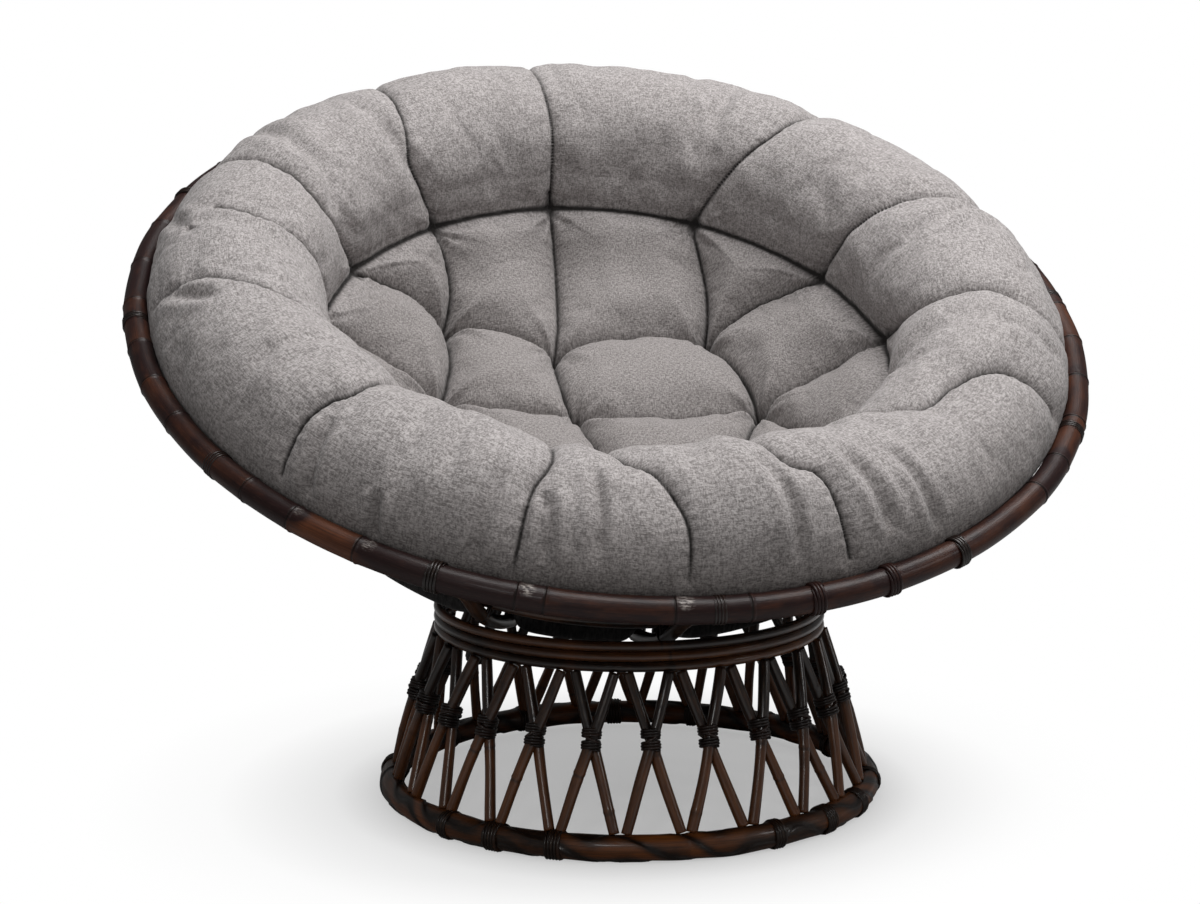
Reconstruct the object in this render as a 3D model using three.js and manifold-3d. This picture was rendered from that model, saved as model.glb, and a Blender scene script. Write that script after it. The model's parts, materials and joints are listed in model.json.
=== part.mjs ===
// Papasan chair: a tufted round cushion in a rattan bowl that leans in the top ring of a lashed rattan drum.
// Millimetres, +Z up, the chair faces -Y. The origin is on the floor, under the middle of the bowl's rim.
import * as THREE from "three";
import { mergeVertices } from "three/addons/utils/BufferGeometryUtils.js";
import Module from "manifold-3d";

const wasm = await Module();
wasm.setup();

// Clearances
const fitGap = 0.3; // between two pieces that touch
const seatGap = 0.5; // between the bowl's ribs and the ring that they turn and tilt in
const cushionGap = 0.4; // between the cushion and the frame that carries it

// Drum base
const floorHoopRadius = 265.2;
const floorPoleRadius = 14.3;
const stackHoopShare = 0.4113; // radius of the stacked hoops, as a share of the ribs' curve that rests in them
const stackCaneRadius = 5.7;
const stackBottom = 184; // underside of the three stacked hoops
const rodRadius = 5.9;
const crossingHeight = 118;
const crossingCount = 24;
const crossBow = 3.6; // how far each rod bows in or out to pass the other one
const footSpread = 28.5; // from the crossing's middle to each foot, along the floor hoop
const headSpread = 21.3; // from the crossing's middle to each head, along the stack
const latticeLashLength = 23;
const latticeLashRadius = 10.4;
const latticeLashWaist = 8.9; // the lashing is drawn in between its two coils
const latticeLashDepth = 12.2; // front to back, over both rods

// Bowl
const rimRadius = 525;
const rimPoleRadius = 14;
const rimDropShare = 0.3619; // of the rim's radius: its plane lies this far below the centre of the ribs' curve
const ribSphereShare = 0.9766; // of the rim's radius: the curve of the ribs' middle lines
const ribRadius = 8;
const ribCount = 12;
const lean = 27.1; // degrees, towards the front
const ribStart = 12.3; // degrees from the bowl's axis, at the foot hoop
const ribStraight = 53; // degrees from the bowl's axis, where the ribs run out straight to the rim
const footPoleRadius = 8;
const bowlCaneRadius = 6;
const lowerHoopAngle = 31;
const upperHoopAngle = 47;
const lashWire = 1.9; // radius of one turn of a rim lashing
const lashTurns = 3;

// Cushion, heights counted from the rim plane
const rollCentreHeight = -3;
const rollHalfWidth = 88;
const rollHalfHeight = 88;
const rollOverhang = 1; // the roll's side would reach this far under the rim pole, and is pressed flat on it
const rollSwell = 6; // crown of each panel of the roll
const rollSeamDepth = 15;
const padEdgeHeight = -52; // the pad meets the roll here, at a ring of tufts
const padCentreHeight = -126;
const panelCount = 12;
const puffCrown = 17; // of each panel of the pad, over the dish that the pad follows
const seamDepth = 16;
const tuftDepth = 36;
// The pad's other tufts, seen from above with the back of the bowl up, as shares of its edge's radius:
// the middle one, then the ring round it anticlockwise
const innerTuftShares = [
  [-0.08, 0.0],
  [-0.08, 0.36],
  [-0.42, 0.47],
  [-0.5, 0.09],
  [-0.36, -0.34],
  [0.0, -0.46],
  [0.35, -0.38],
  [0.51, -0.02],
  [0.42, 0.36],
];

const spokeTufts = [0, 3, 4, 6]; // tufts of that ring that a seam joins to the middle one

// How finely the round pieces are divided
const hoopSteps = 48;
const footHoopSteps = 24;
const poleSides = 10;
const caneSides = 8;
const thinCaneSides = 6;
const rodSides = 5;
const rodSteps = 2;
const ribSteps = 12;
const lashSteps = 6;
const ribSides = 6;
const seamSteps = 4;
const shoulderShare = 0.4; // from a panel's seam to its middle
const rollRings = 9;
const sideSteps = 3; // of the cushion's side, along the ribs' tops
const weld = 1e-4;

const rattan = new THREE.MeshStandardMaterial({ color: 0x3b2620, roughness: 0.42, metalness: 0 });
const rimRattan = new THREE.MeshStandardMaterial({ color: 0x46302e, roughness: 0.36, metalness: 0 });
const floorRattan = new THREE.MeshStandardMaterial({ color: 0x573322, roughness: 0.42, metalness: 0 });
const cloth = new THREE.MeshStandardMaterial({ color: 0x969391, roughness: 0.92, metalness: 0 });

const radians = THREE.MathUtils.degToRad;
const leanAngle = radians(lean);

// Places that follow from the sizes above
const ribSphereRadius = rimRadius * ribSphereShare;
const rimDrop = rimRadius * rimDropShare;
const stackHoopRadius = ribSphereRadius * stackHoopShare;
const floorHoopHeight = floorPoleRadius * Math.cos(Math.PI / poleSides); // its flat stands on the floor
const stackHalfHeight = stackCaneRadius * Math.cos(Math.PI / caneSides);
const stackPitch = 2 * stackHalfHeight + fitGap;
const stackHeights = [0, 1, 2].map((i) => stackBottom + stackHalfHeight + i * stackPitch);
const seatHeight = stackHeights[2];
const seatReach = ribSphereRadius + ribRadius + seatGap + stackCaneRadius;
const tiltHeight = seatHeight + Math.sqrt(seatReach ** 2 - stackHoopRadius ** 2);
const baseSetBack = -rimDrop * Math.sin(leanAngle); // base axis, as Y from the rim's middle
const ribAngleStep = (2 * Math.PI) / ribCount;
const ribBend = onSphere(ribSphereRadius, ribStraight);
const rimPoint = new THREE.Vector2(rimRadius * Math.cos(Math.PI / hoopSteps), -rimDrop);
const ribArc = radians(ribStraight - ribStart) * ribSphereRadius;
const ribWhole = ribBend.distanceTo(rimPoint);
const ribReach = ribWhole - rimPoleRadius - fitGap - lashWire; // up to the middle of the lashing's wire
const ribStep = (ribArc + ribReach) / ribSteps;
const ribSag = ribStep ** 2 / (8 * ribSphereRadius); // a rib's flat steps stand this far inside its curve
const innerSphereRadius = ribSphereRadius - ribRadius - ribSag - cushionGap - bowlCaneRadius;
const restSphereRadius = innerSphereRadius - bowlCaneRadius - cushionGap;
const crossingRadius =
  floorHoopRadius -
  ((crossingHeight - floorHoopHeight) * (floorHoopRadius - stackHoopRadius)) /
    (stackHeights[0] - floorHoopHeight);

const panelAngle = (2 * Math.PI) / panelCount;
const rimInside = rimPoint.x - rimPoleRadius;
const rollCentreRadius = rimInside + rollOverhang - rollHalfWidth;
const rollFootAngle = Math.PI + Math.asin((rollCentreHeight - padEdgeHeight) / rollHalfHeight);
const padEdgeRadius = rollCentreRadius + rollHalfWidth * Math.cos(rollFootAngle);

function solidOf(geometry) {
  const bare = new THREE.BufferGeometry();
  const plain = geometry.index ? geometry.toNonIndexed() : geometry;
  bare.setAttribute("position", plain.getAttribute("position"));
  const merged = mergeVertices(bare, weld);
  return new wasm.Manifold(
    new wasm.Mesh({
      numProp: 3,
      vertProperties: merged.attributes.position.array,
      triVerts: new Uint32Array(merged.index.array),
    }),
  );
}

function geometryOf(solid) {
  const mesh = solid.getMesh();
  const geometry = new THREE.BufferGeometry();
  geometry.setAttribute("position", new THREE.BufferAttribute(mesh.vertProperties, mesh.numProp));
  geometry.setIndex(new THREE.BufferAttribute(mesh.triVerts, 1));
  geometry.computeVertexNormals();
  return geometry;
}

function named(name, geometry, material) {
  const mesh = new THREE.Mesh(geometry, material);
  mesh.name = name;
  return mesh;
}

// A closed outline turned about +Z: x is the distance from the axis and y the height.
function turned(outline, steps) {
  const closed = [...outline, outline[0].clone()];
  return new THREE.LatheGeometry(closed, steps).rotateX(Math.PI / 2);
}

// A round pole bent into a hoop. Half a side of turn puts a flat of its section underneath.
function hoop(radius, height, pole, steps, sides, turn = 0.5) {
  const outline = [];
  for (let i = 0; i < sides; i++) {
    const a = ((i + turn) / sides) * 2 * Math.PI - Math.PI / 2;
    outline.push(new THREE.Vector2(radius + pole * Math.cos(a), height + pole * Math.sin(a)));
  }
  return turned(outline, steps);
}

// A round rod along a path. A turn of 0 or of half a side puts a flat or a corner towards the path's inside.
function tube(path, radius, steps, sides, turn = 0) {
  const section = new THREE.Shape();
  for (let i = 0; i < sides; i++) {
    const a = ((i + turn) / sides) * 2 * Math.PI;
    section[i ? "lineTo" : "moveTo"](radius * Math.cos(a), radius * Math.sin(a));
  }
  section.closePath();
  return new THREE.ExtrudeGeometry(section, { steps, curveSegments: 1, extrudePath: path });
}

// Drum base

function floorHoop() {
  const geometry = hoop(floorHoopRadius, floorHoopHeight, floorPoleRadius, hoopSteps, poleSides);
  return named("floor_hoop", geometry, floorRattan);
}

function stackHoop(name, height) {
  const geometry = hoop(stackHoopRadius, height, stackCaneRadius, hoopSteps, caneSides);
  return named(name, geometry, rattan);
}

// One bent rod of a crossing, from the floor hoop to the lowest hoop of the stack, in front at -Y
function crossingRod(side) {
  const foot = new THREE.Vector3(
    -side * footSpread,
    -Math.sqrt(floorHoopRadius ** 2 - footSpread ** 2),
    floorHoopHeight,
  );
  const head = new THREE.Vector3(
    side * headSpread,
    -Math.sqrt(stackHoopRadius ** 2 - headSpread ** 2),
    stackHeights[0],
  );
  const middle = new THREE.Vector3(0, -crossingRadius - side * crossBow, crossingHeight);
  const path = new THREE.CatmullRomCurve3([foot, middle, head], false, "centripetal");
  return solidOf(tube(path, rodRadius, rodSteps, rodSides));
}

// The lashing over a crossing: two full coils with a drawn-in waist, on the slope of the drum's side
function crossingLashing() {
  const half = latticeLashLength / 2;
  const outline = [
    new THREE.Vector2(0, -half),
    new THREE.Vector2(latticeLashRadius, -half),
    new THREE.Vector2(latticeLashWaist, 0),
    new THREE.Vector2(latticeLashRadius, half),
    new THREE.Vector2(0, half),
  ];
  const geometry = new THREE.LatheGeometry(outline, lashSteps).rotateX(Math.PI / 2);
  geometry.scale(1, latticeLashDepth / latticeLashRadius, 1);
  const slope = Math.atan2(floorHoopRadius - stackHoopRadius, stackHeights[0] - floorHoopHeight);
  geometry.rotateX(-slope);
  geometry.translate(0, -crossingRadius, crossingHeight);
  return solidOf(geometry);
}

function latticeCrossings() {
  // the rods' ends are cut level, on the floor hoop's top and under the lowest hoop of the stack
  const one = geometryOf(
    crossingRod(1)
      .add(crossingRod(-1))
      .add(crossingLashing())
      .trimByPlane([0, 0, 1], 2 * floorHoopHeight + fitGap)
      .trimByPlane([0, 0, -1], fitGap - stackBottom),
  );
  const crossings = new THREE.Group();
  for (let i = 0; i < crossingCount; i++) {
    const number = String(i + 1).padStart(2, "0");
    const crossing = named(`lattice_crossing_${number}`, one, rattan);
    crossing.rotation.z = ((i + 0.5) / crossingCount) * 2 * Math.PI;
    crossings.add(crossing);
  }
  return crossings;
}

function drumBase() {
  const base = new THREE.Group();
  base.add(floorHoop(), latticeCrossings());
  base.add(stackHoop("stack_hoop_lower", stackHeights[0]));
  base.add(stackHoop("stack_hoop_middle", stackHeights[1]));
  base.add(stackHoop("seat_hoop", seatHeight));
  return base;
}

// Bowl, about the centre of its lower curve, with its axis along +Z

// A point that lies at an angle from the bowl's axis on a sphere about that centre: x is outwards, y up
function onSphere(radius, degrees) {
  const a = radians(degrees);
  return new THREE.Vector2(radius * Math.sin(a), -radius * Math.cos(a));
}

// One of the two hoops inside the ribs, with a corner of its section on them
function bowlHoop(name, angle) {
  const at = onSphere(innerSphereRadius, angle);
  const turn = (radians(angle) / (2 * Math.PI)) * thinCaneSides;
  return named(name, hoop(at.x, at.y, bowlCaneRadius, hoopSteps, thinCaneSides, turn), rattan);
}

// A rib's middle line in its own plane: the lower curve, then nearly straight out to the rim
class RibLine extends THREE.Curve {
  constructor() {
    super();
    const handle = new THREE.Vector2(Math.cos(radians(ribStraight)), Math.sin(radians(ribStraight)));
    const out = ribBend.clone().addScaledVector(handle, ribWhole / 2);
    this.bendAt = ribArc / (ribArc + ribReach);
    this.topShare = ribReach / ribWhole;
    this.top = new THREE.QuadraticBezierCurve(ribBend, out, rimPoint);
  }
  getPoint(t, target = new THREE.Vector3()) {
    const lower = onSphere(ribSphereRadius, ribStart + ((ribStraight - ribStart) * t) / this.bendAt);
    const upper = ((t - this.bendAt) / (1 - this.bendAt)) * this.topShare;
    const p = t < this.bendAt ? lower : this.top.getPoint(upper);
    return target.set(0, -p.x, p.y);
  }
}

// Turns of peel round the rim, on a rib that meets it in front at -Y
function rimLashing() {
  const bore = rimPoleRadius + fitGap / Math.cos(Math.PI / poleSides);
  const half = lashTurns * lashWire;
  const outline = [new THREE.Vector2(bore, half), new THREE.Vector2(bore, -half)];
  for (let i = 0; i < lashTurns; i++) {
    const middle = -half + lashWire * (2 * i + 1);
    if (i) outline.push(new THREE.Vector2(bore + lashWire, middle - lashWire));
    outline.push(new THREE.Vector2(bore + 2 * lashWire, middle));
  }
  const geometry = turned(outline, poleSides).rotateY(Math.PI / 2);
  return solidOf(geometry.translate(0, -rimPoint.x, rimPoint.y));
}

function ribs() {
  const one = geometryOf(solidOf(tube(new RibLine(), ribRadius, ribSteps, ribSides, 0.5)).add(rimLashing()));
  const group = new THREE.Group();
  for (let i = 0; i < ribCount; i++) {
    const rib = named(`rib_${String(i + 1).padStart(2, "0")}`, one, rattan);
    rib.rotation.z = i * ribAngleStep;
    group.add(rib);
  }
  return group;
}

// The ribs' lower ends butt on this small hoop from outside
function footHoop() {
  const end = onSphere(ribSphereRadius, ribStart);
  const inwards = new THREE.Vector2(-Math.cos(radians(ribStart)), -Math.sin(radians(ribStart)));
  const at = end.addScaledVector(inwards, footPoleRadius + fitGap);
  return named("bowl_foot_hoop", hoop(at.x, at.y, footPoleRadius, footHoopSteps, caneSides), rattan);
}

// The rim's flat steps are set so that each lashing lies on the middle of one
function rimHoop() {
  const geometry = hoop(rimRadius, -rimDrop, rimPoleRadius, hoopSteps, poleSides);
  return named("rim_hoop", geometry.rotateZ(Math.PI / hoopSteps), rimRattan);
}

// Cushion

// A sewn line between two tufts, deepest at both ends. Along the edge of the pad it follows the roll.
function seam(from, to) {
  const points = [];
  for (let i = 0; i <= seamSteps; i++) {
    const t = i / seamSteps;
    const straight = from.place.clone().lerp(to.place, t);
    const curved = from.place.clone().rotateAround(new THREE.Vector2(), t * panelAngle);
    const place = from.onEdge && to.onEdge ? curved : straight;
    const depth = seamDepth + (tuftDepth - seamDepth) * Math.abs(2 * t - 1) ** 3;
    points.push(new THREE.Vector3(place.x, place.y, dishHeight(place.length()) - depth));
  }
  return points;
}

function dishHeight(radius) {
  return padCentreHeight + (padEdgeHeight - padCentreHeight) * (radius / padEdgeRadius) ** 3;
}

function padTufts() {
  const tuft = (x, y, onEdge) => ({ place: new THREE.Vector2(x, y).multiplyScalar(padEdgeRadius), onEdge });
  const [middle, ...inner] = innerTuftShares.map(([x, y]) => tuft(x, y, false));
  const edge = [];
  for (let i = 0; i < panelCount; i++) {
    edge.push(tuft(Math.cos(i * panelAngle), Math.sin(i * panelAngle), true));
  }
  return { middle, inner, edge };
}

// The pad's panels, each a loop of tufts: between two spokes, and between the inner ring and the roll
function padPanels({ middle, inner, edge }) {
  const panels = spokeTufts.map((spoke, i) => {
    const last = i + 1 < spokeTufts.length ? spokeTufts[i + 1] : inner.length;
    return [middle, ...inner.slice(spoke, last), inner[last % inner.length]];
  });
  const nearest = (tuft) => {
    const distances = inner.map((one) => one.place.distanceTo(tuft.place));
    return distances.indexOf(Math.min(...distances));
  };
  for (const [i, tuft] of edge.entries()) {
    const next = edge[(i + 1) % edge.length];
    let k = nearest(next);
    const loop = [tuft, next, inner[k]];
    while (k !== nearest(tuft)) {
      k = (k + inner.length - 1) % inner.length;
      loop.push(inner[k]);
    }
    panels.push(loop);
  }
  return panels;
}

// A panel rises from its seams to a crown in its middle.
function panelFaces(loop) {
  const rim = loop.flatMap((tuft, i) => seam(tuft, loop[(i + 1) % loop.length]).slice(0, seamSteps));
  const middle = new THREE.Vector2();
  for (const p of rim) middle.add(new THREE.Vector2(p.x, p.y).divideScalar(rim.length));
  const raised = (p, share) => {
    const place = new THREE.Vector2(p.x, p.y).lerp(middle, share);
    const drawn = dishHeight(Math.hypot(p.x, p.y)) - p.z;
    const fall = (1 - share) ** 3;
    const height = dishHeight(place.length()) + puffCrown * (1 - fall) - drawn * fall;
    return new THREE.Vector3(place.x, place.y, height);
  };
  const shoulder = rim.map((p) => raised(p, shoulderShare));
  const crown = raised(rim[0], 1);
  const faces = [];
  for (let i = 0; i < rim.length; i++) {
    const j = (i + 1) % rim.length;
    faces.push([rim[i], rim[j], shoulder[j]], [rim[i], shoulder[j], shoulder[i]]);
    faces.push([shoulder[i], shoulder[j], crown]);
  }
  return faces;
}

const atAngle = (radius, height, angle) =>
  new THREE.Vector3(radius * Math.cos(angle), radius * Math.sin(angle), height);

// The roll swells in the middle of each panel and is drawn in along its seams, which lie at the ribs' lashings.
function rollPoint(angle, share, footPoint) {
  if (!share) return footPoint;
  const turn = rollFootAngle * (1 - share);
  const acrossPanel = Math.abs(Math.sin((angle * panelCount) / 2));
  const crown = rollSwell * acrossPanel - rollSeamDepth * (1 - acrossPanel) ** 2;
  const swell = crown * Math.sqrt(Math.sin(Math.PI * share));
  const out = rollCentreRadius + (rollHalfWidth + swell) * Math.cos(turn);
  const lashed = (2 * lashWire + fitGap) * (1 - acrossPanel) ** 2;
  const pressed = Math.min(out, rimInside - cushionGap - lashed);
  return atAngle(pressed, rollCentreHeight + (rollHalfHeight + swell) * Math.sin(turn), angle);
}

// The cushion's side lies along the ribs' tops,
function sidePoint(angle, share) {
  const line = new RibLine().top;
  const along = line.getTangent(share);
  const inwards = new THREE.Vector2(-along.y, along.x);
  const p = line.getPoint(share).addScaledVector(inwards, ribRadius + ribSag + cushionGap);
  return atAngle(p.x, p.y + rimDrop, angle);
}

// and its underside on the bowl's two inner hoops.
function undersidePoint(angle, degrees) {
  const p = onSphere(restSphereRadius, degrees);
  return atAngle(p.x, p.y + rimDrop, angle);
}

function cushion() {
  const tufts = padTufts();
  const faces = padPanels(tufts).flatMap(panelFaces);
  const foot = tufts.edge.flatMap((tuft, i) =>
    seam(tuft, tufts.edge[(i + 1) % panelCount]).slice(0, seamSteps),
  );
  const between = (upperHoopAngle + lowerHoopAngle) / 2;
  const rings = [];
  const ring = (place) => rings.push(foot.map((p) => place(Math.atan2(p.y, p.x), p)));
  for (let i = 0; i <= rollRings; i++) ring((angle, p) => rollPoint(angle, i / rollRings, p));
  for (let i = sideSteps - 1; i >= 0; i--) ring((angle) => sidePoint(angle, i / sideSteps));
  for (const degrees of [upperHoopAngle, between, lowerHoopAngle, lowerHoopAngle / 2]) {
    ring((angle) => undersidePoint(angle, degrees));
  }
  const bottom = undersidePoint(0, 0);
  for (let i = 0; i < foot.length; i++) {
    const j = (i + 1) % foot.length;
    for (let k = 0; k + 1 < rings.length; k++) {
      faces.push([rings[k][i], rings[k + 1][i], rings[k + 1][j]]);
      faces.push([rings[k][i], rings[k + 1][j], rings[k][j]]);
    }
    faces.push([rings.at(-1)[i], bottom, rings.at(-1)[j]]);
  }
  const geometry = new THREE.BufferGeometry().setFromPoints(faces.flat());
  return named("cushion", mergeVertices(geometry.translate(0, 0, -rimDrop), weld), cloth);
}

function bowl() {
  const group = new THREE.Group();
  group.add(rimHoop(), ribs(), footHoop());
  group.add(bowlHoop("bowl_hoop_lower", lowerHoopAngle));
  group.add(bowlHoop("bowl_hoop_upper", upperHoopAngle));
  group.add(cushion());
  group.position.set(0, baseSetBack, tiltHeight);
  group.rotation.x = leanAngle;
  return group;
}

const chair = new THREE.Group();
const base = drumBase();
base.position.y = baseSetBack;
chair.add(base, bowl());

export default chair;
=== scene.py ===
import json
import math

import bpy
import numpy as np
from mathutils import Matrix, Vector, kdtree


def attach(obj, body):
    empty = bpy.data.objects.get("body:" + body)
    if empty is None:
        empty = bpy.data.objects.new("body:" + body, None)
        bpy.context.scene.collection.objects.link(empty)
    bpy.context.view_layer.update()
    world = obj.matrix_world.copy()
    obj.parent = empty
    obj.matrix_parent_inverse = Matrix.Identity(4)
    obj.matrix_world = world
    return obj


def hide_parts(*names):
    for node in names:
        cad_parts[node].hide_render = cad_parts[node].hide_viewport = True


# Papasan chair: tufted cushion in a rattan bowl, on a lashed rattan drum. Metres, +Z up, the chair faces -Y.

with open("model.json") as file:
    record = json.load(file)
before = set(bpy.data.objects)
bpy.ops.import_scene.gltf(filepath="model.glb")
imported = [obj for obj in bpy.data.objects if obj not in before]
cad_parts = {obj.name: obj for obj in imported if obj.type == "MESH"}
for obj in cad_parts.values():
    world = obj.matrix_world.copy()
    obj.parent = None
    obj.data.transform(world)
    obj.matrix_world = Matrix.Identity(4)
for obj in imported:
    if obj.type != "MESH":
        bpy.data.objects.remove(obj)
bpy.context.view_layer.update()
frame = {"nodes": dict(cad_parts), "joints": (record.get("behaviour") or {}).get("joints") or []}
joints = {joint["name"]: joint for joint in frame["joints"]}
print("frame loaded:", len(frame["nodes"]), "nodes")

tiltCentre = Vector(joints["bowl_tilt"]["pos_m"])
bowlAxis = Vector(joints["cushion_lift"]["axis"]).normalized()
bowlPlace = np.array(Matrix.Translation(tiltCentre) @ Vector((0, 0, 1)).rotation_difference(bowlAxis).to_matrix().to_4x4())
basePlace = np.array(Matrix.Translation((0, tiltCentre.y, 0)))
chance = np.random.default_rng(7)

# Camera

view = {
    "place": (-0.5878, -2.6326, 0.791),
    "direction": (0.2106, 0.9651, -0.1556),
    "roll": math.radians(-0.18),
    "lens": 72.17,
}
cameraData = bpy.data.cameras.new("camera")
cameraData.lens = view["lens"]
cameraData.sensor_width = 36
camera = bpy.data.objects.new("camera", cameraData)
bpy.context.scene.collection.objects.link(camera)
turn = Vector(view["direction"]).to_track_quat("-Z", "Y").to_matrix().to_4x4()
camera.matrix_world = Matrix.Translation(view["place"]) @ turn @ Matrix.Rotation(view["roll"], 4, "Z")
bpy.context.scene.camera = camera


# Mesh helpers

def unit(v):
    return v / np.maximum(np.linalg.norm(v, axis=-1, keepdims=True), 1e-12)


def moved(points, place):
    return np.asarray(points) @ place[:3, :3].T + place[:3, 3]


# A rod along a path, round or with a radius for each point of its surface. out points away from what it lies on.
def sweep(path, radius, sides, out, closed=False, tone=0.5, mark=0.0):
    path = np.asarray(path, float)
    count = len(path)
    if closed:
        tangent = unit(np.roll(path, -1, 0) - np.roll(path, 1, 0))
    else:
        tangent = unit(np.gradient(path, axis=0))
    side = unit(np.cross(tangent, out))
    up = np.cross(side, tangent)
    angle = np.arange(sides) / sides * 2 * math.pi
    radius = np.asarray(radius, float)
    radius = np.broadcast_to(radius if radius.ndim == 2 else radius.reshape(-1, 1), (count, sides))
    spoke = np.cos(angle)[:, None] * up[:, None] + np.sin(angle)[:, None] * side[:, None]
    points = (path[:, None] + radius[..., None] * spoke).reshape(-1, 3)
    rows = count if closed else count - 1
    i, j = np.meshgrid(np.arange(rows), np.arange(sides), indexing="ij")
    nextRow, nextSide = (i + 1) % count, (j + 1) % sides
    quads = np.stack([i * sides + j, i * sides + nextSide, nextRow * sides + nextSide, nextRow * sides + j], -1)
    ring = np.vstack([path, path[:1]]) if closed else path
    along = np.concatenate([[0], np.cumsum(np.linalg.norm(np.diff(ring, axis=0), axis=1))])
    girth = 2 * math.pi * float(radius.mean()) / sides
    lengths = np.stack([along[i], along[i], along[i + 1], along[i + 1]], -1)
    widths = np.stack([j, j + 1, j + 1, j], -1) * girth
    faces = quads.reshape(-1, 4).tolist()
    uv = np.stack([lengths, widths], -1).reshape(-1, 2)
    if not closed:
        faces += [list(range(sides - 1, -1, -1)), list(range((count - 1) * sides, count * sides))]
        uv = np.vstack([uv, np.zeros((2 * sides, 2))])
    mark = np.broadcast_to(np.asarray(mark, float).reshape(-1, 1) if np.ndim(mark) == 1 else mark, (count, sides))
    tone = np.broadcast_to(np.asarray(tone, float).reshape(-1, 1) if np.ndim(tone) == 1 else tone, (count, sides))
    return {"points": points, "faces": faces, "uv": uv, "tone": tone.reshape(-1), "mark": mark.reshape(-1)}


# Joins swept rods into one piece that rides on a body and stands for CAD nodes
def piece(name, rods, place, material, body, slot, *nodes):
    points, faces, start = [], [], 0
    for rod in rods:
        points.append(rod["points"])
        faces += [[v + start for v in face] for face in rod["faces"]]
        start += len(rod["points"])
    mesh = bpy.data.meshes.new(name)
    mesh.from_pydata(moved(np.vstack(points), place).tolist(), [], faces)
    layer = mesh.uv_layers.new(name="grain")
    layer.data.foreach_set("uv", np.vstack([rod["uv"] for rod in rods]).astype(np.float32).reshape(-1))
    for key in ("tone", "mark"):
        values = np.concatenate([rod[key] for rod in rods]).astype(np.float32)
        mesh.attributes.new(key, "FLOAT", "POINT").data.foreach_set("value", values)
    mesh.shade_smooth()
    mesh.materials.append(material)
    made = bpy.data.objects.new(name, mesh)
    bpy.context.scene.collection.objects.link(made)
    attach(made, body)
    if nodes:
        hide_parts(*nodes)
    return made


# A point on a circle about the axis, at an angle from the front (-Y) towards +X
def onCircle(radius, degrees, height):
    a = np.radians(degrees)
    return np.stack(np.broadcast_arrays(radius * np.sin(a), -radius * np.cos(a), height), -1)


def bump(distance, width):
    return np.exp(-((distance / width) ** 2))


# The relief of cane joints along a rod: a groove with a swollen lip, and how dark the groove is
def caneJoints(along, places, lip=0.0009, closedLength=None):
    relief, dark = np.zeros_like(along), np.zeros_like(along)
    for place in places:
        gap = along - place
        if closedLength:
            gap = (gap + closedLength / 2) % closedLength - closedLength / 2
        relief += lip * (bump(gap - 0.0018, 0.0014) - 0.9 * bump(gap, 0.0009) + 0.5 * bump(gap, 0.009))
        dark = np.maximum(dark, bump(gap, 0.0013))
    return relief, dark


# A strip of peel wound round something: a spiral about a straight axis, on an oval
def windings(centre, axis, out, wide, deep, turns, pitch, strip, tone=0.3, steps=22, waist=None):
    axis, out = unit(np.asarray(axis, float)), np.asarray(out, float)
    side = unit(np.cross(axis, out))
    out = np.cross(side, axis)
    t = np.linspace(0, turns, int(turns * steps) + 1)
    a = 2 * math.pi * t
    swell = np.ones_like(t) if waist is None else waist(t / turns)
    centre = np.asarray(centre, float)
    path = (
        centre
        + np.outer((t - turns / 2) * pitch, axis)
        + np.outer(wide * swell * np.sin(a), side)
        + np.outer(deep * swell * np.cos(a), out)
    )
    ends = np.clip(np.minimum(t, turns - t) * 6, 0.25, 1)
    return sweep(path, strip * ends, 8, axis, tone=tone)


# Materials

def mixed(nodes, links, factor, first, second, blend="MIX"):
    mix = nodes.new("ShaderNodeMix")
    mix.data_type = "RGBA"
    mix.blend_type = blend
    for socket, value in ((mix.inputs["Factor"], factor), (mix.inputs[6], first), (mix.inputs[7], second)):
        if isinstance(value, bpy.types.NodeSocket):
            links.new(value, socket)
        elif isinstance(value, (int, float)):
            socket.default_value = value
        else:
            socket.default_value = (*value, 1)
    return mix.outputs[2]


def arithmetic(nodes, links, operation, first, second, third=None):
    math_ = nodes.new("ShaderNodeMath")
    math_.operation = operation
    for k, value in enumerate((first, second, third)):
        if value is None:
            continue
        if isinstance(value, bpy.types.NodeSocket):
            links.new(value, math_.inputs[k])
        else:
            math_.inputs[k].default_value = value
    return math_.outputs[0]


def noiseOf(nodes, links, vector, scale, detail=3.0, roughness=0.55, stretch=(1, 1, 1)):
    mapping = nodes.new("ShaderNodeMapping")
    mapping.inputs["Scale"].default_value = stretch
    links.new(vector, mapping.inputs["Vector"])
    texture = nodes.new("ShaderNodeTexNoise")
    texture.inputs["Scale"].default_value = scale
    texture.inputs["Detail"].default_value = detail
    texture.inputs["Roughness"].default_value = roughness
    links.new(mapping.outputs["Vector"], texture.inputs["Vector"])
    return texture.outputs["Fac"]


def ranged(nodes, links, value, low, high, toLow=0.0, toHigh=1.0):
    span = nodes.new("ShaderNodeMapRange")
    span.inputs["From Min"].default_value = low
    span.inputs["From Max"].default_value = high
    span.inputs["To Min"].default_value = toLow
    span.inputs["To Max"].default_value = toHigh
    links.new(value, span.inputs["Value"])
    return span.outputs["Result"]


def newMaterial(name):
    material = bpy.data.materials.new(name)
    material.use_nodes = True
    nodes, links = material.node_tree.nodes, material.node_tree.links
    return material, nodes, links, nodes["Principled BSDF"]


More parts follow.
